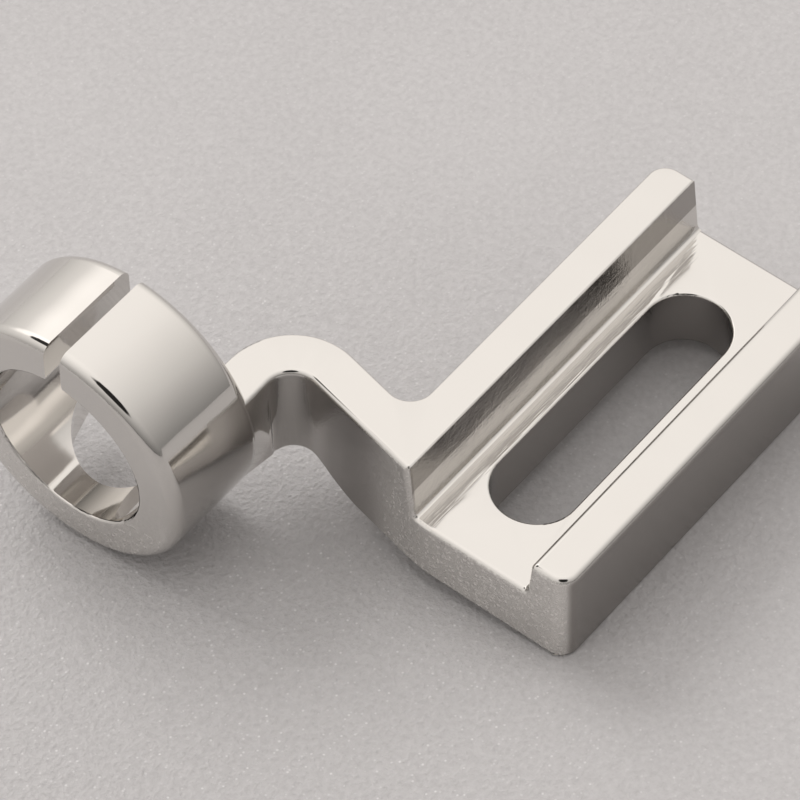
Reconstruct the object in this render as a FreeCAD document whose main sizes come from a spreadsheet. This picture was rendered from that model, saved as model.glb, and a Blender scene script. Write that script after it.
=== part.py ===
import FreeCAD, Part
import Sketcher
import math
import os

# Presser foot of a sewing machine: one casting with a split collar for the presser bar,
# a bent arm and a channelled block with an oblong slot.
# Millimetres. X runs across the block, Y along it and along the bore, Z up.
# The part is drawn from the front left corner of its channel floor, and the body is then
# moved so that the middle of the bore is the origin.

os.makedirs("parts", exist_ok=True)
doc = FreeCAD.newDocument("presser_foot")

# Sizes, each written once

sheet = doc.addObject("Spreadsheet::Sheet", "Sizes")
SIZES = [
    # the block with its channel between two rails
    ("block_length", 23.06),
    ("floor_thickness", 3.75),
    ("channel_width", 6.97),
    ("left_rail_height", 3.52),
    ("left_rail_width", 2.4),
    ("right_rail_height", 2.4),
    ("right_rail_width", 2.46),
    ("rail_draft", 5.7),
    ("channel_root_round", 0.3),
    ("block_corner_round", 1.01),
    ("rail_edge_round", 0.38),
    ("edge_round", 0.14),
    ("front_edge_round", 0.3),
    # the oblong slot through the channel floor
    ("slot_width", 4.6),
    ("slot_length", 16.66),
    ("slot_front_land", 3.08),
    ("slot_side_land", 1.17),
    # the split collar
    ("bar_bore", 9.5),
    ("collar_wall", 2.46),
    ("collar_length", 6.32),
    ("collar_gap", 1.21),
    ("collar_offset", 15.66),
    ("collar_rise", 0.77),
    ("collar_round", 0.65),
    ("bore_edge_round", 0.14),
    ("slit_width", 1.01),
    ("slit_offset", 0.26),
    ("slit_mouth_round", 0.33),
    ("notch_end_round", 3.1),
    ("notch_depth", 4.06),
    ("notch_flare", 14.6),
    ("notch_draft", 4.0),
    # the bent arm
    ("arm_width", 2.38),
    ("arm_slope", 11.7),
    ("bend_round", 1.41),
    ("bend_offset", 7.59),
    ("bend_rise", 0.21),
    ("arm_back_round", 1.25),
    ("arm_front_round", 7.12),
    ("arm_step", 1.28),
    ("arm_step_start", 3.92),
    ("arm_step_length", 4.99),
    ("arm_root_inset", 0.05),
]
for row, (name, value) in enumerate(SIZES, start=1):
    sheet.set("A%d" % row, name)
    sheet.set("B%d" % row, str(value))
    sheet.setAlias("B%d" % row, name)
doc.recompute()


class Dim:
    """A length that carries its number and the sheet formula that gives it."""

    def __init__(self, value, text):
        self.value = value
        self.text = text

    def __add__(self, other):
        other = dim(other)
        return Dim(self.value + other.value, "(%s + %s)" % (self.text, other.text))

    def __radd__(self, other):
        return dim(other) + self

    def __sub__(self, other):
        other = dim(other)
        return Dim(self.value - other.value, "(%s - %s)" % (self.text, other.text))

    def __rsub__(self, other):
        return dim(other) - self

    def __mul__(self, factor):
        return Dim(self.value * factor, "(%s * %s)" % (self.text, factor))

    def __neg__(self):
        return Dim(-self.value, "(-%s)" % self.text)


def dim(value):
    if isinstance(value, Dim):
        return value
    return Dim(float(value), str(float(value)))


def size(name):
    return Dim(float(sheet.get(name)), "Sizes." + name)


body = doc.addObject("PartDesign::Body", "presser_foot")
body.Label = "presser_foot"


def base_plane(role):
    for item in body.Origin.OriginFeatures:
        if item.Role == role:
            return item


def new_sketch(name, role, offset=(0, 0, 0)):
    """A sketch on one of the body's planes, moved by up to three named lengths."""
    made = body.newObject("Sketcher::SketchObject", name)
    made.AttachmentSupport = [(base_plane(role), "")]
    made.MapMode = "FlatFace"
    made.AttachmentOffset = FreeCAD.Placement(FreeCAD.Vector(*[dim(v).value for v in offset]), FreeCAD.Rotation())
    for axis, length in zip("xyz", offset):
        if isinstance(length, Dim):
            made.setExpression(".AttachmentOffset.Base." + axis, length.text)
    return made


def point(spot):
    return FreeCAD.Vector(dim(spot[0]).value, dim(spot[1]).value, 0)


def line(made, start, end):
    return made.addGeometry(Part.LineSegment(point(start), point(end)), False)


def arc(made, centre, radius, first, last):
    """An arc about a centre, anticlockwise from one angle to the other, in degrees."""
    circle = Part.Circle(point(centre), FreeCAD.Vector(0, 0, 1), dim(radius).value)
    return made.addGeometry(Part.ArcOfCircle(circle, math.radians(first), math.radians(last)), False)


def rule(made, *parts):
    return made.addConstraint(Sketcher.Constraint(*parts))


def measure(made, kind, *parts):
    """A dimension whose last part is a named length; the sheet drives it."""
    length = dim(parts[-1])
    index = made.addConstraint(Sketcher.Constraint(kind, *parts[:-1], length.value))
    made.setExpression("Constraints[%d]" % index, length.text)
    return index


def pin(made, piece, end, across, up):
    """Places one end of a piece by its distances from the sketch origin."""
    if across is None:
        rule(made, "PointOnObject", piece, end, -2)
    else:
        measure(made, "DistanceX", -1, 1, piece, end, across)
    if up is None:
        rule(made, "PointOnObject", piece, end, -1)
    else:
        measure(made, "DistanceY", -1, 1, piece, end, up)


def join(made, *pairs):
    for first, first_end, second, second_end in pairs:
        rule(made, "Coincident", first, first_end, second, second_end)


def blend(made, *pairs):
    for first, first_end, second, second_end in pairs:
        rule(made, "Tangent", first, first_end, second, second_end)


def cut_through(name, profile):
    """A cut along the whole part, to both sides of the sketch."""
    made = body.newObject("PartDesign::Pocket", name)
    made.Profile = profile
    made.Type = "ThroughAll"
    made.Midplane = True
    profile.Visibility = False
    doc.recompute()
    return made


START, END, CENTRE = 1, 2, 3
floor = size("floor_thickness")
channel = size("channel_width")
left_high = size("left_rail_height")
right_high = size("right_rail_height")
left_wide = size("left_rail_width")
block_right = channel + size("right_rail_width")
length = size("block_length")
bore = size("bar_bore") * 0.5
collar = bore + size("collar_wall")
collar_x = -size("collar_offset")
collar_z = size("collar_rise")
collar_back = -size("collar_gap")
collar_front = collar_back - size("collar_length")
arm = size("arm_width")
inner = size("bend_round")
outer = inner + arm
bend = (-size("bend_offset"), size("bend_rise"))
slope = size("arm_slope")
lean = math.radians(slope.value)

# The plan of the casting: the block with rounded upright corners and the arm, a strip on edge
# that leaves the front left corner at a slight slope and bends forwards to the collar

plan = new_sketch("Plan", "XY_Plane", (0, 0, -floor))
inner_end = (bend[0].value + inner.value * math.sin(lean), bend[1].value + inner.value * math.cos(lean))
outer_end = (bend[0].value + outer.value * math.sin(lean), bend[1].value + outer.value * math.cos(lean))
fall = math.tan(lean)
corner = size("block_corner_round")
sway = size("arm_front_round")
reach = inner_end[0] + inner_end[1] / fall
eased = sway.value * math.tan(lean / 2)
web = size("arm_back_round")
web_x = -left_wide.value - web.value
web_y = outer_end[1] - fall * (web_x - outer_end[0]) + web.value / math.cos(lean)
foot = (web_x - web.value * math.sin(lean), web_y - web.value * math.cos(lean))
arc(plan, bend, inner, 90 - slope.value, 180)
line(plan, inner_end, (reach - eased * math.cos(lean), eased * math.sin(lean)))
arc(plan, (reach + eased, sway), sway, 270 - slope.value, 270)
line(plan, (reach + eased, 0), (block_right - corner, 0))
arc(plan, (block_right - corner, corner), corner, 270, 360)
line(plan, (block_right, corner), (block_right, length - corner))
arc(plan, (block_right - corner, length - corner), corner, 0, 90)
line(plan, (block_right - corner, length), (corner - left_wide, length))
arc(plan, (corner - left_wide, length - corner), corner, 90, 180)
line(plan, (-left_wide, length - corner), (-left_wide, web_y))
arc(plan, (web_x, web_y), web, 270 - slope.value, 360)
line(plan, foot, outer_end)
arc(plan, bend, outer, 90 - slope.value, 180)
line(plan, (bend[0] - outer, bend[1]), (bend[0] - inner, bend[1]))
blend(plan, (0, START, 1, START), (1, END, 2, START), (2, END, 3, START), (3, END, 4, START), (4, END, 5, START))
blend(plan, (5, END, 6, START), (6, END, 7, START), (7, END, 8, START), (8, END, 9, START), (9, END, 10, END))
blend(plan, (10, START, 11, START), (11, END, 12, START))
join(plan, (12, END, 13, START), (13, END, 0, END))
for piece in (3, 7, 13):
    rule(plan, "Horizontal", piece)
for piece in (5, 9):
    rule(plan, "Vertical", piece)
rule(plan, "Coincident", 0, CENTRE, 12, CENTRE)
rule(plan, "Equal", 4, 6)
rule(plan, "Equal", 4, 8)
pin(plan, 0, CENTRE, bend[0], bend[1])
measure(plan, "Radius", 0, inner)
measure(plan, "Radius", 12, outer)
measure(plan, "Radius", 10, web)
measure(plan, "Radius", 4, corner)
measure(plan, "Radius", 2, sway)
rule(plan, "Horizontal", 0, CENTRE, 0, END)
rule(plan, "PointOnObject", 3, START, -1)
tilt = rule(plan, "Angle", 1, -lean)
plan.setExpression("Constraints[%d]" % tilt, "-Sizes.arm_slope * 1 deg")
rule(plan, "Parallel", 1, 11)
measure(plan, "DistanceX", -1, 1, 9, START, -left_wide)
measure(plan, "DistanceX", -1, 1, 5, START, block_right)
measure(plan, "DistanceY", -1, 1, 7, START, length)
strip = body.newObject("PartDesign::Pad", "Casting")
strip.Profile = plan
strip.setExpression("Length", (floor + left_high).text)
doc.recompute()

# The underside of the arm steps up in a soft double curve towards the bend

under = new_sketch("ArmUnderside", "XZ_Plane")
step = size("arm_step")
step_x = -size("arm_step_start")
step_end = step_x - size("arm_step_length")
half_run = size("arm_step_length").value / 2
half_step = step.value / 2
sweep = (half_run ** 2 + half_step ** 2) / (2 * half_step)
turn = math.degrees(math.asin(half_run / sweep))
low = step - floor
past = bend[0] - outer - 1
line_low = -floor - 1
arc(under, (step_x, sweep - floor.value), sweep, 270 - turn, 270)
arc(under, (step_end, low.value - sweep), sweep, 90 - turn, 90)
line(under, (step_end, low), (past, low))
line(under, (past, low), (past, line_low))
line(under, (past, line_low), (step_x, line_low))
line(under, (step_x, line_low), (step_x, -floor))
blend(under, (0, START, 1, START), (1, END, 2, START))
join(under, (2, END, 3, START), (3, END, 4, START), (4, END, 5, START), (5, END, 0, END))
rule(under, "Equal", 0, 1)
rule(under, "Vertical", 0, CENTRE, 0, END)
rule(under, "Vertical", 1, CENTRE, 1, END)
rule(under, "Vertical", 3)
rule(under, "Horizontal", 4)
rule(under, "Vertical", 5)
pin(under, 0, END, step_x, -floor)
pin(under, 1, END, step_end, low)
pin(under, 3, END, past, line_low)
cut_through("ArmStep", under)

# The channel between the rails, with leaning walls, and the lower right rail

trough = new_sketch("ChannelSection", "XZ_Plane")
draft = size("rail_draft")
root_round = size("channel_root_round")
slant = math.tan(math.radians(draft.value))
nook = root_round.value * math.tan(math.radians(90 - draft.value) / 2)
rise = math.cos(math.radians(draft.value)) * nook
shift = math.sin(math.radians(draft.value)) * nook
above = left_high + 1
beyond = block_right + 1
flat = channel.value - nook
line(trough, (nook, 0), (flat, 0))
arc(trough, (flat, root_round), root_round, 270, 360 - draft.value)
line(trough, (channel.value + shift, rise), (channel.value + slant * right_high.value, right_high))
line(trough, (channel.value + slant * right_high.value, right_high), (beyond, right_high))
line(trough, (beyond, right_high), (beyond, above))
line(trough, (beyond, above), (-slant * above.value, above))
line(trough, (-slant * above.value, above), (-shift, rise))
arc(trough, (nook, root_round), root_round, 180 + draft.value, 270)
heel = trough.addGeometry(Part.Point(FreeCAD.Vector(channel.value, 0, 0)), True)
blend(trough, (0, END, 1, START), (1, END, 2, START), (6, END, 7, START), (7, END, 0, START))
join(trough, (2, END, 3, START), (3, END, 4, START), (4, END, 5, START), (5, END, 6, START))
rule(trough, "PointOnObject", 0, START, -1)
rule(trough, "PointOnObject", 0, END, -1)
rule(trough, "Horizontal", 3)
rule(trough, "Vertical", 4)
rule(trough, "Horizontal", 5)
rule(trough, "Equal", 1, 7)
measure(trough, "Radius", 1, root_round)
pin(trough, 4, END, beyond, above)
measure(trough, "DistanceY", -1, 1, 3, START, right_high)
pin(trough, heel, START, channel, None)
rule(trough, "PointOnObject", heel, START, 2)
rule(trough, "PointOnObject", -1, START, 6)
up = rule(trough, "Angle", 2, math.radians(90 - draft.value))
trough.setExpression("Constraints[%d]" % up, "(90 - Sizes.rail_draft) * 1 deg")
down = rule(trough, "Angle", 6, -math.radians(90 - draft.value))
trough.setExpression("Constraints[%d]" % down, "(Sizes.rail_draft - 90) * 1 deg")
cut_through("Channel", trough)

# The oblong slot

slot = new_sketch("SlotPlan", "XY_Plane")
slot_r = size("slot_width") * 0.5
slot_x = size("slot_side_land") + slot_r
slot_y = size("slot_front_land") + slot_r
slot_end = size("slot_front_land") + size("slot_length") - slot_r
line(slot, (slot_x + slot_r, slot_y), (slot_x + slot_r, slot_end))
arc(slot, (slot_x, slot_end), slot_r, 0, 180)
line(slot, (slot_x - slot_r, slot_end), (slot_x - slot_r, slot_y))
arc(slot, (slot_x, slot_y), slot_r, 180, 360)
blend(slot, (0, END, 1, START), (1, END, 2, START), (2, END, 3, START), (3, END, 0, START))
rule(slot, "Vertical", 0)
rule(slot, "Vertical", 2)
pin(slot, 3, CENTRE, slot_x, slot_y)
measure(slot, "DistanceY", -1, 1, 1, CENTRE, slot_end)
measure(slot, "Radius", 1, slot_r)
cut_through("Slot", slot)

# Rounds on the long edges, chosen by the planes that they lie in: the arm's front edge and the
# right rail's outer edges are well rounded, the others only eased

round_r = size("edge_round")
front_r = size("front_edge_round")


def near(value, length):
    return abs(value - dim(length).value) < 1e-4


def in_plane(edge, axis, length):
    box = edge.BoundBox
    ends = {"x": (box.XMin, box.XMax), "y": (box.YMin, box.YMax), "z": (box.ZMin, box.ZMax)}[axis]
    return near(ends[0], length) and near(ends[1], length)


def soften(name, radius, test):
    base = body.Tip
    chosen = ["Edge%d" % (n + 1) for n, edge in enumerate(base.Shape.Edges) if test(edge)]
    made = body.newObject("PartDesign::Fillet", name)
    made.Base = (base, chosen)
    made.setExpression("Radius", radius.text)
    doc.recompute()
    return made


def on_arm_front(edge):
    """The edge from the bend's inner side to the front left corner of the channel."""
    box = edge.BoundBox
    ahead_of_rear = box.YMax < bend[1].value + inner.value + 0.01
    return in_plane(edge, "z", left_high) and not in_plane(edge, "y", bend[1]) and ahead_of_rear


def on_top(edge):
    return in_plane(edge, "z", left_high) and not in_plane(edge, "y", bend[1]) and not on_arm_front(edge)


def on_right_rail(edge):
    return in_plane(edge, "z", right_high) and edge.BoundBox.XMax > channel.value + 1


def on_slot_rim(edge):
    box = edge.BoundBox
    return near(box.ZMin, 0) and near(box.ZMax, 0) and box.YMin > 0.5 and box.YMax < length.value - 0.5 and box.XMin > 0.5


soften("TopEdges", round_r, on_top)
soften("ArmFront", front_r, on_arm_front)
soften("RightRail", size("rail_edge_round"), on_right_rail)
soften("SlotRim", round_r, on_slot_rim)
# The root of the arm: it carries the round of the collar on and fades it into the bend

left_side = bend[0] - outer
root = collar_back - size("collar_round") - size("arm_root_inset")
root_face = new_sketch("ArmRootAtCollar", "XZ_Plane", (0, 0, -root))
root_r = collar - size("arm_root_inset")


bottom_x = collar_x.value + math.sqrt(root_r.value ** 2 - (low.value - collar_z.value) ** 2)
lower = math.degrees(math.asin((low.value - collar_z.value) / root_r.value))
upper = math.degrees(math.asin((left_high.value - front_r.value - collar_z.value) / (root_r.value - front_r.value)))
edge_x = collar_x.value + (root_r.value - front_r.value) * math.cos(math.radians(upper))
line(root_face, (left_side, low), (bottom_x, low))
arc(root_face, (collar_x, collar_z), root_r, lower, upper)
arc(root_face, (edge_x, left_high - front_r), front_r, upper, 90)
line(root_face, (edge_x, left_high), (left_side + round_r, left_high))
arc(root_face, (left_side + round_r, left_high - round_r), round_r, 90, 180)
line(root_face, (left_side, left_high - round_r), (left_side, low))
blend(root_face, (1, END, 2, START), (2, END, 3, START), (3, END, 4, START), (4, END, 5, START))
join(root_face, (0, END, 1, START), (5, END, 0, START))
rule(root_face, "Horizontal", 0)
rule(root_face, "Horizontal", 3)
rule(root_face, "Vertical", 5)
pin(root_face, 1, CENTRE, collar_x, collar_z)
measure(root_face, "Radius", 1, root_r)
measure(root_face, "Radius", 2, front_r)
measure(root_face, "Radius", 4, round_r)
pin(root_face, 5, END, left_side, low)
measure(root_face, "DistanceY", -1, 1, 3, START, left_high)

bend_face = new_sketch("ArmRootAtBend", "XZ_Plane", (0, 0, -bend[1]))
wall = bend[0] - inner
line(bend_face, (left_side, low), (wall, low))
line(bend_face, (wall, low), (wall, left_high - front_r))
arc(bend_face, (wall - front_r, left_high - front_r), front_r, 0, 90)
line(bend_face, (wall - front_r, left_high), (left_side + round_r, left_high))
arc(bend_face, (left_side + round_r, left_high - round_r), round_r, 90, 180)
line(bend_face, (left_side, left_high - round_r), (left_side, low))
blend(bend_face, (1, END, 2, START), (2, END, 3, START), (3, END, 4, START), (4, END, 5, START))
join(bend_face, (0, END, 1, START), (5, END, 0, START))
rule(bend_face, "Horizontal", 0)
rule(bend_face, "Vertical", 1)
rule(bend_face, "Horizontal", 3)
rule(bend_face, "Vertical", 5)
measure(bend_face, "Radius", 2, front_r)
measure(bend_face, "Radius", 4, round_r)
pin(bend_face, 5, END, left_side, low)
measure(bend_face, "DistanceX", -1, 1, 1, START, wall)
measure(bend_face, "DistanceY", -1, 1, 3, START, left_high)
swell = body.newObject("PartDesign::AdditiveLoft", "ArmRoot")
swell.Profile = root_face
swell.Sections = [bend_face]
doc.recompute()

# The collar: a turned ring with rounded outer edges, its axis parallel to Y

ring = new_sketch("CollarSection", "XY_Plane", (collar_x, 0, collar_z))
soft = size("collar_round")
line(ring, (0, collar_front), (collar - soft, collar_front))
arc(ring, (collar - soft, collar_front + soft), soft, 270, 360)
line(ring, (collar, collar_front + soft), (collar, collar_back - soft))
arc(ring, (collar - soft, collar_back - soft), soft, 0, 90)
line(ring, (collar - soft, collar_back), (0, collar_back))
line(ring, (0, collar_back), (0, collar_front))
blend(ring, (0, END, 1, START), (1, END, 2, START), (2, END, 3, START), (3, END, 4, START))
join(ring, (4, END, 5, START), (5, END, 0, START))
rule(ring, "Horizontal", 0)
rule(ring, "Vertical", 2)
rule(ring, "Horizontal", 4)
rule(ring, "Equal", 1, 3)
measure(ring, "Radius", 1, soft)
pin(ring, 0, START, None, collar_front)
pin(ring, 5, START, None, collar_back)
measure(ring, "DistanceX", -1, 1, 2, START, collar)
turned = body.newObject("PartDesign::Revolution", "Collar")
turned.Profile = ring
turned.ReferenceAxis = (ring, ["V_Axis"])
turned.Angle = 360
doc.recompute()

# The bore for the presser bar, eased at its front edge; it runs on along the arm's side

hole = new_sketch("BoreSection", "XY_Plane", (collar_x, 0, collar_z))
ease = size("bore_edge_round")
ahead = collar_front - 1
behind = bend[1] + outer + 1
line(hole, (0, ahead), (bore + ease, ahead))
line(hole, (bore + ease, ahead), (bore + ease, collar_front))
arc(hole, (bore + ease, collar_front + ease), ease, 180, 270)
line(hole, (bore, collar_front + ease), (bore, behind))
line(hole, (bore, behind), (0, behind))
line(hole, (0, behind), (0, ahead))
join(hole, (0, END, 1, START), (1, END, 2, END), (3, END, 4, START), (4, END, 5, START), (5, END, 0, START))
blend(hole, (2, START, 3, START))
rule(hole, "Horizontal", 0)
rule(hole, "Vertical", 1)
rule(hole, "Vertical", 3)
rule(hole, "Horizontal", 4)
rule(hole, "Vertical", 2, CENTRE, 2, END)
measure(hole, "Radius", 2, ease)
pin(hole, 0, START, None, ahead)
pin(hole, 5, START, None, behind)
measure(hole, "DistanceY", -1, 1, 2, END, collar_front)
measure(hole, "DistanceX", -1, 1, 3, START, bore)
bored = body.newObject("PartDesign::Groove", "BarBore")
bored.Profile = hole
bored.ReferenceAxis = (hole, ["V_Axis"])
bored.Angle = 360
doc.recompute()

# The slit that opens the collar at the top, with rounded edges where it meets the bore

gap = new_sketch("SlitSection", "XZ_Plane")
mouth = size("slit_mouth_round")
slit_left = collar_x - size("slit_offset") - size("slit_width") * 0.5
slit_right = collar_x - size("slit_offset") + size("slit_width") * 0.5
slit_top = collar_z + collar + 1
right_in = slit_right.value + mouth.value - collar_x.value
left_in = slit_left.value - mouth.value - collar_x.value
spread = bore.value + mouth.value
right_up = math.sqrt(spread ** 2 - right_in ** 2)
left_up = math.sqrt(spread ** 2 - left_in ** 2)
right_low = math.degrees(math.atan2(-right_up, -right_in)) % 360
left_low = math.degrees(math.atan2(-left_up, -left_in)) % 360
share = bore.value / spread
right_tip = (collar_x.value + right_in * share, collar_z.value + right_up * share)
left_tip = (collar_x.value + left_in * share, collar_z.value + left_up * share)
line(gap, (slit_right, slit_top), (slit_right, collar_z.value + right_up))
arc(gap, (slit_right + mouth, collar_z.value + right_up), mouth, 180, right_low)
line(gap, right_tip, (collar_x, collar_z))
line(gap, (collar_x, collar_z), left_tip)
arc(gap, (slit_left - mouth, collar_z.value + left_up), mouth, left_low, 360)
line(gap, (slit_left, collar_z.value + left_up), (slit_left, slit_top))
line(gap, (slit_left, slit_top), (slit_right, slit_top))
blend(gap, (0, END, 1, START), (4, END, 5, START))
join(gap, (1, END, 2, START), (2, END, 3, START), (3, END, 4, START), (5, END, 6, START), (6, END, 0, START))
rule(gap, "Vertical", 0)
rule(gap, "Vertical", 5)
rule(gap, "Horizontal", 6)
rule(gap, "Equal", 1, 4)
rule(gap, "PointOnObject", 1, CENTRE, 2)
rule(gap, "PointOnObject", 4, CENTRE, 3)
measure(gap, "Radius", 1, mouth)
measure(gap, "Distance", 2, bore)
measure(gap, "Distance", 3, bore)
pin(gap, 2, END, collar_x, collar_z)
pin(gap, 0, START, slit_right, slit_top)
measure(gap, "DistanceX", -1, 1, 5, END, slit_left)
cut_through("Slit", gap)

# The notch under the collar: a round front end, sides that spread towards the back, and walls
# that lean outwards on the way down; its sizes are those at the height of the bore's middle

notch = new_sketch("NotchPlan", "XY_Plane", (collar_x, 0, collar_z))
notch_r = size("notch_end_round")
notch_y = collar_back - size("notch_depth") + notch_r
notch_end = collar_back + 0.5
flare = size("notch_flare")
spread_by = math.radians(flare.value)
side = (notch_r.value * math.cos(spread_by), notch_y.value - notch_r.value * math.sin(spread_by))
wide = side[0] + (notch_end.value - side[1]) * math.tan(spread_by)
line(notch, side, (wide, notch_end))
line(notch, (wide, notch_end), (-wide, notch_end))
line(notch, (-wide, notch_end), (-side[0], side[1]))
arc(notch, (0, notch_y), notch_r, 180 + flare.value, 360 - flare.value)
join(notch, (0, END, 1, START), (1, END, 2, START))
blend(notch, (2, END, 3, START), (3, END, 0, START))
rule(notch, "Symmetric", 1, START, 1, END, -2)
pin(notch, 3, CENTRE, None, notch_y)
measure(notch, "Radius", 3, notch_r)
measure(notch, "DistanceY", -1, 1, 1, END, notch_end)
opening = rule(notch, "Angle", 0, math.radians(90) - spread_by)
notch.setExpression("Constraints[%d]" % opening, "(90 - Sizes.notch_flare) * 1 deg")
cleared = body.newObject("PartDesign::Pocket", "Notch")
cleared.Profile = notch
cleared.setExpression("Length", (collar + 1).text)
cleared.setExpression("TaperAngle", "Sizes.notch_draft * 1 deg")
notch.Visibility = False
doc.recompute()

# The middle of the bore becomes the origin

body.setExpression(".Placement.Base.x", (-collar_x).text)
body.setExpression(".Placement.Base.y", (-collar_back + size("collar_length") * 0.5).text)
body.setExpression(".Placement.Base.z", (-collar_z).text)

# Every feature is sound, and each cut took metal away

doc.recompute()
for item in doc.Objects:
    if "Invalid" in item.State or "Error" in item.State:
        raise RuntimeError("%s is %s" % (item.Label, item.State))
volume = 0.0
for item in body.Group:
    if item.isDerivedFrom("Sketcher::SketchObject"):
        if not item.FullyConstrained:
            raise RuntimeError("%s is not fully held" % item.Label)
        continue
    if item.Shape.isNull() or not item.Shape.isValid():
        raise RuntimeError("%s has no sound shape" % item.Label)
    taken = item.isDerivedFrom("PartDesign::Pocket") or item.isDerivedFrom("PartDesign::Groove")
    if taken and item.Shape.Volume >= volume:
        raise RuntimeError("%s cut nothing" % item.Label)
    volume = item.Shape.Volume
if len(body.Shape.Solids) != 1:
    raise RuntimeError("the casting is not one solid")
body.Shape.exportStep("parts/presser_foot.step")
print("presser_foot", round(volume, 2), "mm3", body.Shape.BoundBox)
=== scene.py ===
import bpy
import bmesh
import math
import numpy as np
from mathutils import Matrix, Vector


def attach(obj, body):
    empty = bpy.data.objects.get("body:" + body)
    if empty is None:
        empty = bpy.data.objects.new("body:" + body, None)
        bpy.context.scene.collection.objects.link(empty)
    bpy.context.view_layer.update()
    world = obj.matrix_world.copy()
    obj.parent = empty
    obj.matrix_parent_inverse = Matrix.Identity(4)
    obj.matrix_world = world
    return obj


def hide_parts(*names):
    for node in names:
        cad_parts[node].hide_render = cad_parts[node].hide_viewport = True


# Presser foot of a sewing machine, one nickel plated casting, lying on a grey table.
# Metres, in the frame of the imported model: the middle of the bore is the origin, X runs across
# the block, Y along the bore and the block, Z up.

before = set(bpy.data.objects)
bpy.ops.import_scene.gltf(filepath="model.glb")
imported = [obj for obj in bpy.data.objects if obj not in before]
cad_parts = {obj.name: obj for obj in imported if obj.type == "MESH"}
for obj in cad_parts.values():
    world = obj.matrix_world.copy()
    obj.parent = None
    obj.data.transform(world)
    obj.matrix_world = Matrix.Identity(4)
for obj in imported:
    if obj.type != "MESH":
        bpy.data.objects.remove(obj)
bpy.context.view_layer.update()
MM = 0.001
PER_MM = 1 / MM


def linear(code):
    """Turns an sRGB hex colour into the linear colour that a socket takes."""
    parts = [int(code[n:n + 2], 16) / 255 for n in (1, 3, 5)]
    return [c / 12.92 if c <= 0.04045 else ((c + 0.055) / 1.055) ** 2.4 for c in parts] + [1.0]


def add(tree, kind, settings=None, **sockets):
    """Adds a node. Settings are its own properties; sockets are numbers, colours or links."""
    node = tree.nodes.new("ShaderNode" + kind)
    for name, value in (settings or {}).items():
        setattr(node, name, value)
    for name, value in sockets.items():
        key = int(name[1:]) if name[0] == "_" else name.replace("_", " ")
        if isinstance(value, bpy.types.NodeSocket):
            tree.links.new(value, node.inputs[key])
        else:
            node.inputs[key].default_value = value
    return node


def new_material(name):
    made = bpy.data.materials.new(name)
    made.use_nodes = True
    made.node_tree.nodes.clear()
    return made, made.node_tree


# Camera: above the right front corner, looking down along the block

AZIMUTH, ELEVATION, ROLL = map(math.radians, (39.54, 52.763, -1.064))
AIM = Vector((12.377, 7.628, 2.729)) * MM
DISTANCE = 262.05 * MM
SENSOR, LENS = 36, 244.04


def camera_axes():
    """Right, up and backward directions of a view from an azimuth and elevation, then rolled."""
    right = Vector((math.cos(AZIMUTH), math.sin(AZIMUTH), 0))
    ahead = Vector((math.sin(AZIMUTH), -math.cos(AZIMUTH), 0))
    back = math.cos(ELEVATION) * ahead + Vector((0, 0, math.sin(ELEVATION)))
    up = back.cross(right)
    rolled = math.cos(ROLL) * right + math.sin(ROLL) * up
    return rolled, back.cross(rolled), back


def place_camera():
    right, up, back = camera_axes()
    lens = bpy.data.cameras.new("view")
    lens.sensor_width = SENSOR
    lens.lens = LENS
    lens.clip_start = 0.01
    lens.clip_end = 20
    made = bpy.data.objects.new("view", lens)
    turn = Matrix((right, up, back)).transposed().to_4x4()
    made.matrix_world = Matrix.Translation(AIM + DISTANCE * back) @ turn
    bpy.context.scene.collection.objects.link(made)
    bpy.context.scene.camera = made


# The casting: the solid's faces joined and shaded smooth between its real edges; the lower edges
# and the ends of the channel floor, which the solid leaves sharp, get a small round

UNDERSIDE = -3.2 * MM
PAST_BEND = (9.0 * MM, 4.6 * MM)
CHANNEL_FLOOR = -0.77 * MM
CHANNEL_ENDS = (4.37 * MM, 27.43 * MM)
EASED = 0.13 * MM
SAME_PLACE = 0.0005 * MM
NEARLY = 0.01 * MM
SHARP = math.radians(57.3)
SURFACES_APART = math.radians(15)


def to_be_eased(edge):
    """True for the edges of the arm's and block's underside and of the channel floor's ends."""
    ends = [vert.co for vert in edge.verts]
    right, rear = PAST_BEND
    if all(spot.z < UNDERSIDE and (spot.x > right or spot.y > rear) for spot in ends):
        return True
    if any(abs(spot.z - CHANNEL_FLOOR) > NEARLY for spot in ends):
        return False
    return any(all(abs(spot.y - end) < NEARLY for spot in ends) for end in CHANNEL_ENDS)


def note_directions(mesh):
    """Writes down which way the solid's surface faces at each corner of each triangle."""
    facing = np.empty(len(mesh.loops) * 3, dtype=np.float32)
    mesh.corner_normals.foreach_get("vector", facing)
    mesh.attributes.new("surface", "FLOAT_VECTOR", "CORNER").data.foreach_set("vector", facing)


def surfaces_part(edge, facing):
    """True where the surfaces on the two sides of an edge face clearly different ways."""
    here, there = edge.link_loops
    pairs = ((here, there.link_loop_next), (here.link_loop_next, there))
    return any(one[facing].angle(other[facing], 0.0) > SURFACES_APART for one, other in pairs)


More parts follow.
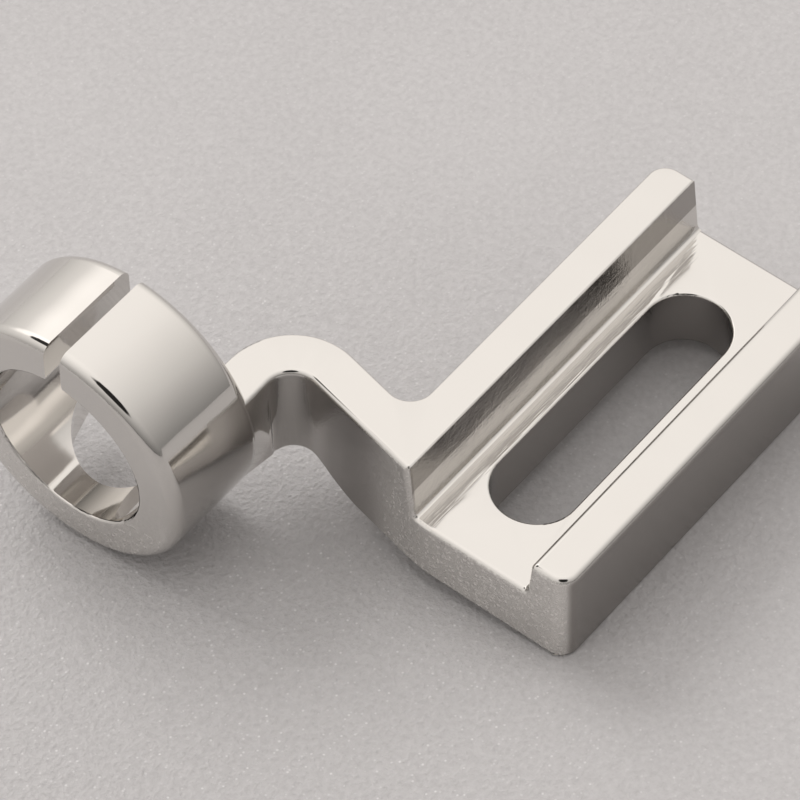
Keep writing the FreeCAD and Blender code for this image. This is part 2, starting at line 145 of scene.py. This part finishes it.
def casting():
    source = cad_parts["presser_foot"]
    mesh = source.data.copy()
    mesh.name = "casting"
    note_directions(mesh)
    work = bmesh.new()
    work.from_mesh(mesh)
    bmesh.ops.remove_doubles(work, verts=work.verts, dist=SAME_PLACE)
    facing = work.loops.layers.float_vector["surface"]
    weight = work.edges.layers.float.new("bevel_weight_edge")
    for face in work.faces:
        face.smooth = True
    for edge in work.edges:
        edge.smooth = edge.is_manifold and not surfaces_part(edge, facing)
        if edge.is_manifold and edge.calc_face_angle() > SHARP and to_be_eased(edge):
            edge[weight] = 1.0
    work.to_mesh(mesh)
    work.free()
    for layer in [item for item in mesh.attributes if item.name in ("custom_normal", "surface")]:
        mesh.attributes.remove(layer)
    mesh.materials.clear()
    mesh.materials.append(bright_nickel())
    made = bpy.data.objects.new("casting", mesh)
    bpy.context.scene.collection.objects.link(made)
    eased = made.modifiers.new("eased", "BEVEL")
    eased.limit_method = "WEIGHT"
    eased.width = EASED
    eased.segments = 2
    eased.use_clamp_overlap = False
    flats = made.modifiers.new("flats", "WEIGHTED_NORMAL")
    flats.keep_sharp = True
    flats.weight = 100
    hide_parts("presser_foot")
    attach(made, "root")


# Bright nickel plating over a die casting. The top and the collar are wheel polished: a clear
# mirror with a faint warm cast, in slow waves. The arm's and block's upright sides keep the
# casting's skin, a satin with a fine grain, and are painted darker as painted shade of the shaded
# table that they mirror; their front and back and the lower half of the collar's faces stay
# lighter, with white specks painted as glints of the plating's pits. The channel shows the
# cutter's streaks.

# the second colour is painted shade on the upright sides, the third is painted glints
POLISHED, SHADED_SKIN, GLINT_SPECK = "#d8d5d1", "#a5a19d", "#f6f3ef"
BLOCK_MIDDLE = (19.14 * MM, 15.9 * MM)


def regions(tree, spot, facing):
    """Where each finish, the painted shade and the painted glints lie, each from 0 to 1, by name.
    """
    x, y, z = (spot.outputs[axis] for axis in "XYZ")

    # 0 on faces that look up and 1 on upright ones, then 1 on faces that look along the block
    level = add(tree, "Math", {"operation": "ABSOLUTE"}, _0=facing.outputs["Z"]).outputs[0]
    upright = add(tree, "MapRange", Value=level, _1=0.75, _2=0.35, _3=0.0, _4=1.0).outputs[0]
    lengthwise = add(tree, "Math", {"operation": "ABSOLUTE"}, _0=facing.outputs["Y"]).outputs[0]
    flat_end = add(tree, "MapRange", Value=lengthwise, _1=0.85, _2=0.96, _3=0.0, _4=1.0).outputs[0]

    # the channel's left wall and its foot, without the ends
    past_left = add(tree, "Math", {"operation": "GREATER_THAN"}, _0=x, _1=15.2 * MM).outputs[0]
    short_of = add(tree, "Math", {"operation": "LESS_THAN"}, _0=x, _1=16.8 * MM).outputs[0]
    strip = add(tree, "Math", {"operation": "MULTIPLY"}, _0=past_left, _1=short_of).outputs[0]
    milled = add(tree, "Math", {"operation": "SUBTRACT", "use_clamp": True}, _0=strip,
                 _1=flat_end).outputs[0]
    wall = add(tree, "Math", {"operation": "MULTIPLY"}, _0=milled, _1=upright).outputs[0]

    # the upright sides of the arm and block, fading in from the collar, then the cast faces
    past_collar = add(tree, "MapRange", Value=x, _1=6.2 * MM, _2=9.5 * MM, _3=0.0,
                      _4=1.0).outputs[0]
    sides = add(tree, "Math", {"operation": "MULTIPLY"}, _0=past_collar, _1=upright).outputs[0]
    cast = add(tree, "Math", {"operation": "MAXIMUM"}, _0=sides, _1=flat_end).outputs[0]

    # the front and back of the block and the arm's side next to it
    sideways = add(tree, "Math", {"operation": "ABSOLUTE"}, _0=facing.outputs["X"]).outputs[0]
    turned = add(tree, "MapRange", Value=sideways, _1=0.92, _2=0.75, _3=0.0, _4=1.0).outputs[0]
    faced = add(tree, "Math", {"operation": "MULTIPLY"}, _0=turned, _1=upright).outputs[0]
    along = add(tree, "Math", {"operation": "SUBTRACT"}, _0=y, _1=BLOCK_MIDDLE[1]).outputs[0]
    away = add(tree, "Math", {"operation": "ABSOLUTE"}, _0=along).outputs[0]
    outer = add(tree, "MapRange", Value=away, _1=10.5 * MM, _2=11.2 * MM, _3=0.0,
                _4=1.0).outputs[0]
    at_block = add(tree, "MapRange", Value=x, _1=10.5 * MM, _2=13.5 * MM, _3=0.0,
                   _4=1.0).outputs[0]
    beyond = add(tree, "Math", {"operation": "MULTIPLY"}, _0=outer, _1=at_block).outputs[0]
    fronts = add(tree, "Math", {"operation": "MULTIPLY"}, _0=faced, _1=beyond).outputs[0]

    # those and the lower half of the collar's faces, where the painted glints go
    low = add(tree, "MapRange", Value=z, _1=1 * MM, _2=-3 * MM, _3=0.0, _4=0.8).outputs[0]
    collar = add(tree, "Math", {"operation": "SUBTRACT", "use_clamp": True}, _0=low,
                 _1=past_collar).outputs[0]
    collar_face = add(tree, "Math", {"operation": "MULTIPLY"}, _0=collar, _1=flat_end).outputs[0]
    glint_speckled = add(tree, "Math", {"operation": "MAXIMUM"}, _0=fronts, _1=collar_face).outputs[0]

    # painted shade: the sides, without the inside of the channel and without the fronts, get the
    # darker colour that stands for the shaded table they mirror
    across = add(tree, "Math", {"operation": "SUBTRACT"}, _0=x, _1=BLOCK_MIDDLE[0]).outputs[0]
    aside = add(tree, "Math", {"operation": "ABSOLUTE"}, _0=across).outputs[0]
    between = add(tree, "Math", {"operation": "LESS_THAN"}, _0=aside, _1=3.65 * MM).outputs[0]
    above = add(tree, "Math", {"operation": "GREATER_THAN"}, _0=z, _1=-0.9 * MM).outputs[0]
    channel = add(tree, "Math", {"operation": "MULTIPLY"}, _0=between, _1=above).outputs[0]
    outside = add(tree, "Math", {"operation": "SUBTRACT", "use_clamp": True}, _0=sides,
                  _1=channel).outputs[0]
    painted_shade_sides = add(tree, "Math", {"operation": "SUBTRACT", "use_clamp": True}, _0=outside,
               _1=fronts).outputs[0]
    return {"cast": cast, "milled": milled, "wall": wall, "glint_speckled": glint_speckled, "painted_shade_sides": painted_shade_sides}


def painted_glints(tree, where, glint_speckled):
    """Painted glints, as matt white grains 0.1 to 0.2 mm wide, in drifts 3.5 mm long, over a finer
    painted mottle.
    """
    drifts = add(tree, "TexNoise", Vector=where, Scale=0.28 * PER_MM, Detail=1.0, Roughness=0.5)
    crowd = add(tree, "MapRange", Value=drifts.outputs["Fac"], _1=0.35, _2=0.6, _3=0.65,
                _4=1.35).outputs[0]
    cells = add(tree, "TexVoronoi", Vector=where, Scale=4.3 * PER_MM)
    grain = add(tree, "MapRange", Value=cells.outputs["Distance"], _1=0.68, _2=0.22, _3=0.0,
                _4=1.0).outputs[0]
    chance = add(tree, "SeparateColor", Color=cells.outputs["Color"]).outputs["Red"]
    spare = add(tree, "Math", {"operation": "SUBTRACT", "use_clamp": True}, _0=crowd,
                _1=chance).outputs[0]
    bright = add(tree, "Math", {"operation": "MULTIPLY"}, _0=spare, _1=0.65).outputs[0]
    chosen = add(tree, "Math", {"operation": "MULTIPLY", "use_clamp": True}, _0=bright,
                 _1=grain).outputs[0]
    mottle = add(tree, "TexNoise", Vector=where, Scale=9 * PER_MM, Detail=2.0, Roughness=0.6)
    fine = add(tree, "MapRange", Value=mottle.outputs["Fac"], _1=0.42, _2=0.7, _3=0.0,
               _4=0.55).outputs[0]
    spread = add(tree, "Math", {"operation": "MAXIMUM"}, _0=chosen, _1=fine).outputs[0]
    return add(tree, "Math", {"operation": "MULTIPLY"}, _0=spread, _1=glint_speckled).outputs[0]


def relief(tree, where, waves, place, glint_specks):
    """The surface's small heights laid over each other, as the direction that it faces."""
    wavy = add(tree, "Bump", Strength=0.2, Distance=0.4 * MM, Height=waves).outputs[0]

    # the skin's grain, 0.12 mm; finer in the real casting, drawn coarser so that it shows
    skin = add(tree, "TexNoise", Vector=where, Scale=8 * PER_MM, Detail=2.0, Roughness=0.6)
    skin_height = add(tree, "Math", {"operation": "MULTIPLY"}, _0=skin.outputs["Fac"],
                      _1=place["cast"]).outputs[0]
    grainy = add(tree, "Bump", Strength=0.45, Distance=0.04 * MM, Height=skin_height,
                 Normal=wavy).outputs[0]
    glint_speckled = add(tree, "Bump", Strength=0.6, Distance=0.03 * MM, Height=glint_specks,
                   Normal=grainy).outputs[0]

    # the cutter's streaks, 0.1 mm apart and 3 mm long, and its chatter on the wall, 0.7 mm
    drawn = add(tree, "Mapping", Vector=where,
                Scale=(9 * PER_MM, 0.32 * PER_MM, 9 * PER_MM)).outputs[0]
    streaks = add(tree, "TexNoise", Vector=drawn, Scale=1.0, Detail=2.0, Roughness=0.6)
    streak_height = add(tree, "Math", {"operation": "MULTIPLY"}, _0=streaks.outputs["Fac"],
                        _1=place["milled"]).outputs[0]
    streaked = add(tree, "Bump", Strength=0.25, Distance=0.03 * MM, Height=streak_height,
                   Normal=glint_speckled).outputs[0]
    chatter = add(tree, "TexNoise", Vector=where, Scale=1.4 * PER_MM, Detail=4.0, Roughness=0.65)
    chatter_height = add(tree, "Math", {"operation": "MULTIPLY"}, _0=chatter.outputs["Fac"],
                         _1=place["wall"]).outputs[0]
    return add(tree, "Bump", Strength=0.5, Distance=0.06 * MM, Height=chatter_height,
               Normal=streaked).outputs[0]


def bright_nickel():
    made, tree = new_material("bright nickel plating")
    spots = add(tree, "TexCoord")
    where = spots.outputs["Object"]
    spot = add(tree, "SeparateXYZ", Vector=where)
    facing = add(tree, "SeparateXYZ", Vector=spots.outputs["Normal"])
    place = regions(tree, spot, facing)
    glint_specks = painted_glints(tree, where, place["glint_speckled"])

    # waves about 4 mm long from the polishing wheel, which also haze the mirror a little
    waves = add(tree, "TexNoise", Vector=where, Scale=0.23 * PER_MM, Detail=1.0,
                Roughness=0.4).outputs["Fac"]
    haze = add(tree, "MapRange", Value=waves, _1=0.3, _2=0.7, _3=0.05, _4=0.11).outputs[0]
    satin = add(tree, "Math", {"operation": "MULTIPLY"}, _0=place["painted_shade_sides"], _1=0.1).outputs[0]
    rough = add(tree, "Math", {"operation": "ADD"}, _0=haze, _1=satin).outputs[0]

    # the upright sides painted darker: painted shade
    plate = add(tree, "Mix", {"data_type": "RGBA"}, Factor=place["painted_shade_sides"], _6=linear(POLISHED),
                _7=linear(SHADED_SKIN)).outputs[2]
    # painted glints: white specks mixed over the plate
    tone = add(tree, "Mix", {"data_type": "RGBA"}, Factor=glint_specks, _6=plate,
               _7=linear(GLINT_SPECK)).outputs[2]
    bare = add(tree, "MapRange", Value=glint_specks, _1=0.0, _2=1.0, _3=1.0, _4=0.3).outputs[0]
    metal = add(tree, "BsdfPrincipled", Base_Color=tone, Metallic=bare, Roughness=rough,
                Normal=relief(tree, where, waves, place, glint_specks))
    add(tree, "OutputMaterial", Surface=metal.outputs["BSDF"])
    return made


# The table: a soft vinyl sheet with an embossed leather grain, a neutral grey that is a little
# blotchy, with painted glints: bright flecks painted on the grain where it would catch light

GREYS = ("#b5b3b4", "#c3c1c2")
# the flecks' colour is a painted glint
GLINT_FLECK = "#f4f3f4"
GRAIN_CENTRE = (8 * MM, -12 * MM, 0.0)
LEAN = math.radians(6.22)
BLOCK_CORNER = (25.09 * MM, -4.52 * MM)
HALF_TABLE = 3.0


def embossed_vinyl():
    made, tree = new_material("embossed vinyl")
    where = add(tree, "TexCoord").outputs["Object"]

    # the grain is crisp within 16 mm of a place in front of the object and falls to a third of
    # that beyond 40 mm, where the sheet looks out of focus
    away = add(tree, "VectorMath", {"operation": "DISTANCE"}, _0=where,
               _1=GRAIN_CENTRE).outputs["Value"]
    crisp = add(tree, "MapRange", Value=away, _1=16 * MM, _2=40 * MM, _3=1.0, _4=0.3).outputs[0]

    # grain 0.3 mm wide, blotches 17 mm wide
    grain = add(tree, "TexNoise", Vector=where, Scale=3.2 * PER_MM, Detail=2.0,
                Roughness=0.55).outputs["Fac"]
    broad = add(tree, "TexNoise", Vector=where, Scale=0.06 * PER_MM, Detail=1.0,
                Roughness=0.5).outputs["Fac"]
    mixed = add(tree, "Mix", {"data_type": "FLOAT"}, Factor=0.25, _2=grain, _3=broad).outputs[0]
    pale = add(tree, "MapRange", Value=mixed, _1=0.3, _2=0.7, _3=0.0, _4=1.0).outputs[0]
    grey = add(tree, "Mix", {"data_type": "RGBA"}, Factor=pale, _6=linear(GREYS[0]),
               _7=linear(GREYS[1])).outputs[2]

    # painted glints: flecks 0.1 mm wide on four cells of the grain in ten
    cells = add(tree, "TexVoronoi", Vector=where, Scale=4 * PER_MM)
    glint_fleck = add(tree, "MapRange", Value=cells.outputs["Distance"], _1=0.34, _2=0.12, _3=0.0,
                _4=0.5).outputs[0]
    chance = add(tree, "SeparateColor", Color=cells.outputs["Color"]).outputs["Red"]
    scarce = add(tree, "MapRange", Value=chance, _1=0.62, _2=1.0, _3=0.0, _4=1.0).outputs[0]
    bright = add(tree, "Math", {"operation": "MULTIPLY"}, _0=glint_fleck, _1=scarce).outputs[0]
    faint = add(tree, "Math", {"operation": "MULTIPLY"}, _0=bright, _1=crisp).outputs[0]
    tone = add(tree, "Mix", {"data_type": "RGBA"}, Factor=faint, _6=grey,
               _7=linear(GLINT_FLECK)).outputs[2]

    embossed = add(tree, "Bump", Strength=crisp, Distance=0.12 * MM, Height=grain).outputs[0]
    sheet = add(tree, "BsdfPrincipled", Base_Color=tone, Roughness=0.5, Normal=embossed)
    add(tree, "OutputMaterial", Surface=sheet.outputs["BSDF"])
    return made


def table():
    """A flat square sheet, leaning so that the collar and the block's right edge both touch it."""
    side = np.linspace(-HALF_TABLE, HALF_TABLE, 2)
    across, along = np.meshgrid(side, side)
    low = BLOCK_CORNER[1] + math.tan(LEAN) * (across - BLOCK_CORNER[0])
    spots = np.stack([across, along, low], axis=-1).reshape(-1, 3)
    mesh = bpy.data.meshes.new("table")
    mesh.from_pydata(spots.tolist(), [], [[0, 1, 3, 2]])
    mesh.materials.append(embossed_vinyl())
    made = bpy.data.objects.new("table", mesh)
    bpy.context.scene.collection.objects.link(made)


# Light: a pale room, brightest overhead and behind on the left, with a bright pane at the left
# and two small dark places, one ahead on the right and one on the left, which the plating mirrors.
# The brightness in a direction is its product with SLOPE plus OVERALL, and never under LEAST. The
# pane and each dark place are a direction, the cosines to it at which they begin and are full,
# and the light that the pane adds or the share that the dark place leaves.

SLOPE, OVERALL, LEAST = (-0.318, 0.12, 0.785), 0.442, 0.1
DARK_PLACES = (
    ((0.385, -0.467, 0.796), 0.93, 0.965, 0.03),
    ((-0.65, -0.22, 0.73), 0.965, 0.985, 0.03),
)
PANE = ((-0.79, 0.13, 0.60), 0.9, 0.99, 0.5)
DAYLIGHT, BACKDROP = "#fffbf7", "#dcdbd8"


def room():
    world = bpy.data.worlds.new("pale room")
    bpy.context.scene.world = world
    world.use_nodes = True
    tree = world.node_tree
    tree.nodes.clear()
    where = add(tree, "TexCoord").outputs["Generated"]
    slope = add(tree, "VectorMath", {"operation": "DOT_PRODUCT"}, _0=where,
                _1=SLOPE).outputs["Value"]
    glow = add(tree, "Math", {"operation": "ADD"}, _0=slope, _1=OVERALL).outputs[0]
    level = add(tree, "Math", {"operation": "MAXIMUM"}, _0=glow, _1=LEAST).outputs[0]

    towards, begins, full, added = PANE
    near = add(tree, "VectorMath", {"operation": "DOT_PRODUCT"}, _0=where,
               _1=towards).outputs["Value"]
    pane = add(tree, "MapRange", {"interpolation_type": "SMOOTHSTEP"}, Value=near, _1=begins,
               _2=full, _3=0.0, _4=added).outputs[0]
    level = add(tree, "Math", {"operation": "ADD"}, _0=level, _1=pane).outputs[0]

    for towards, begins, full, left in DARK_PLACES:
        near = add(tree, "VectorMath", {"operation": "DOT_PRODUCT"}, _0=where,
                   _1=towards).outputs["Value"]
        clear = add(tree, "MapRange", {"interpolation_type": "SMOOTHSTEP"}, Value=near,
                    _1=begins, _2=full, _3=1.0, _4=left).outputs[0]
        level = add(tree, "Math", {"operation": "MULTIPLY"}, _0=level, _1=clear).outputs[0]

    # past the table's edge the camera sees the backdrop's plain colour
    seen = add(tree, "LightPath").outputs["Is Camera Ray"]
    lit = add(tree, "Background", Color=linear(DAYLIGHT), Strength=level).outputs[0]
    pale = add(tree, "Background", Color=linear(BACKDROP), Strength=1.0).outputs[0]
    both = add(tree, "MixShader", Fac=seen, _1=lit, _2=pale).outputs[0]
    add(tree, "OutputWorld", Surface=both)


WINDOW_PLACE = (-0.64, 0.12, 0.48)
WINDOW_AIM = (0.012, 0.01, 0.0)
WINDOW_SIDE = 0.4
WINDOW_WATTS = 2.2
WINDOW_COLOUR = "#fffdfa"


def window():
    """A square soft lamp on the left; the plating doesn't show it, since the pane is there."""
    light = bpy.data.lights.new("window", "AREA")
    light.shape = "SQUARE"
    light.size = WINDOW_SIDE
    light.energy = WINDOW_WATTS
    light.color = linear(WINDOW_COLOUR)[:3]
    made = bpy.data.objects.new("window", light)
    made.location = WINDOW_PLACE
    back = Vector(WINDOW_PLACE) - Vector(WINDOW_AIM)
    made.rotation_euler = back.to_track_quat("Z", "Y").to_euler()
    made.visible_glossy = False
    bpy.context.scene.collection.objects.link(made)


place_camera()
casting()
table()
room()
window()
bpy.context.scene.view_settings.view_transform = "Standard"
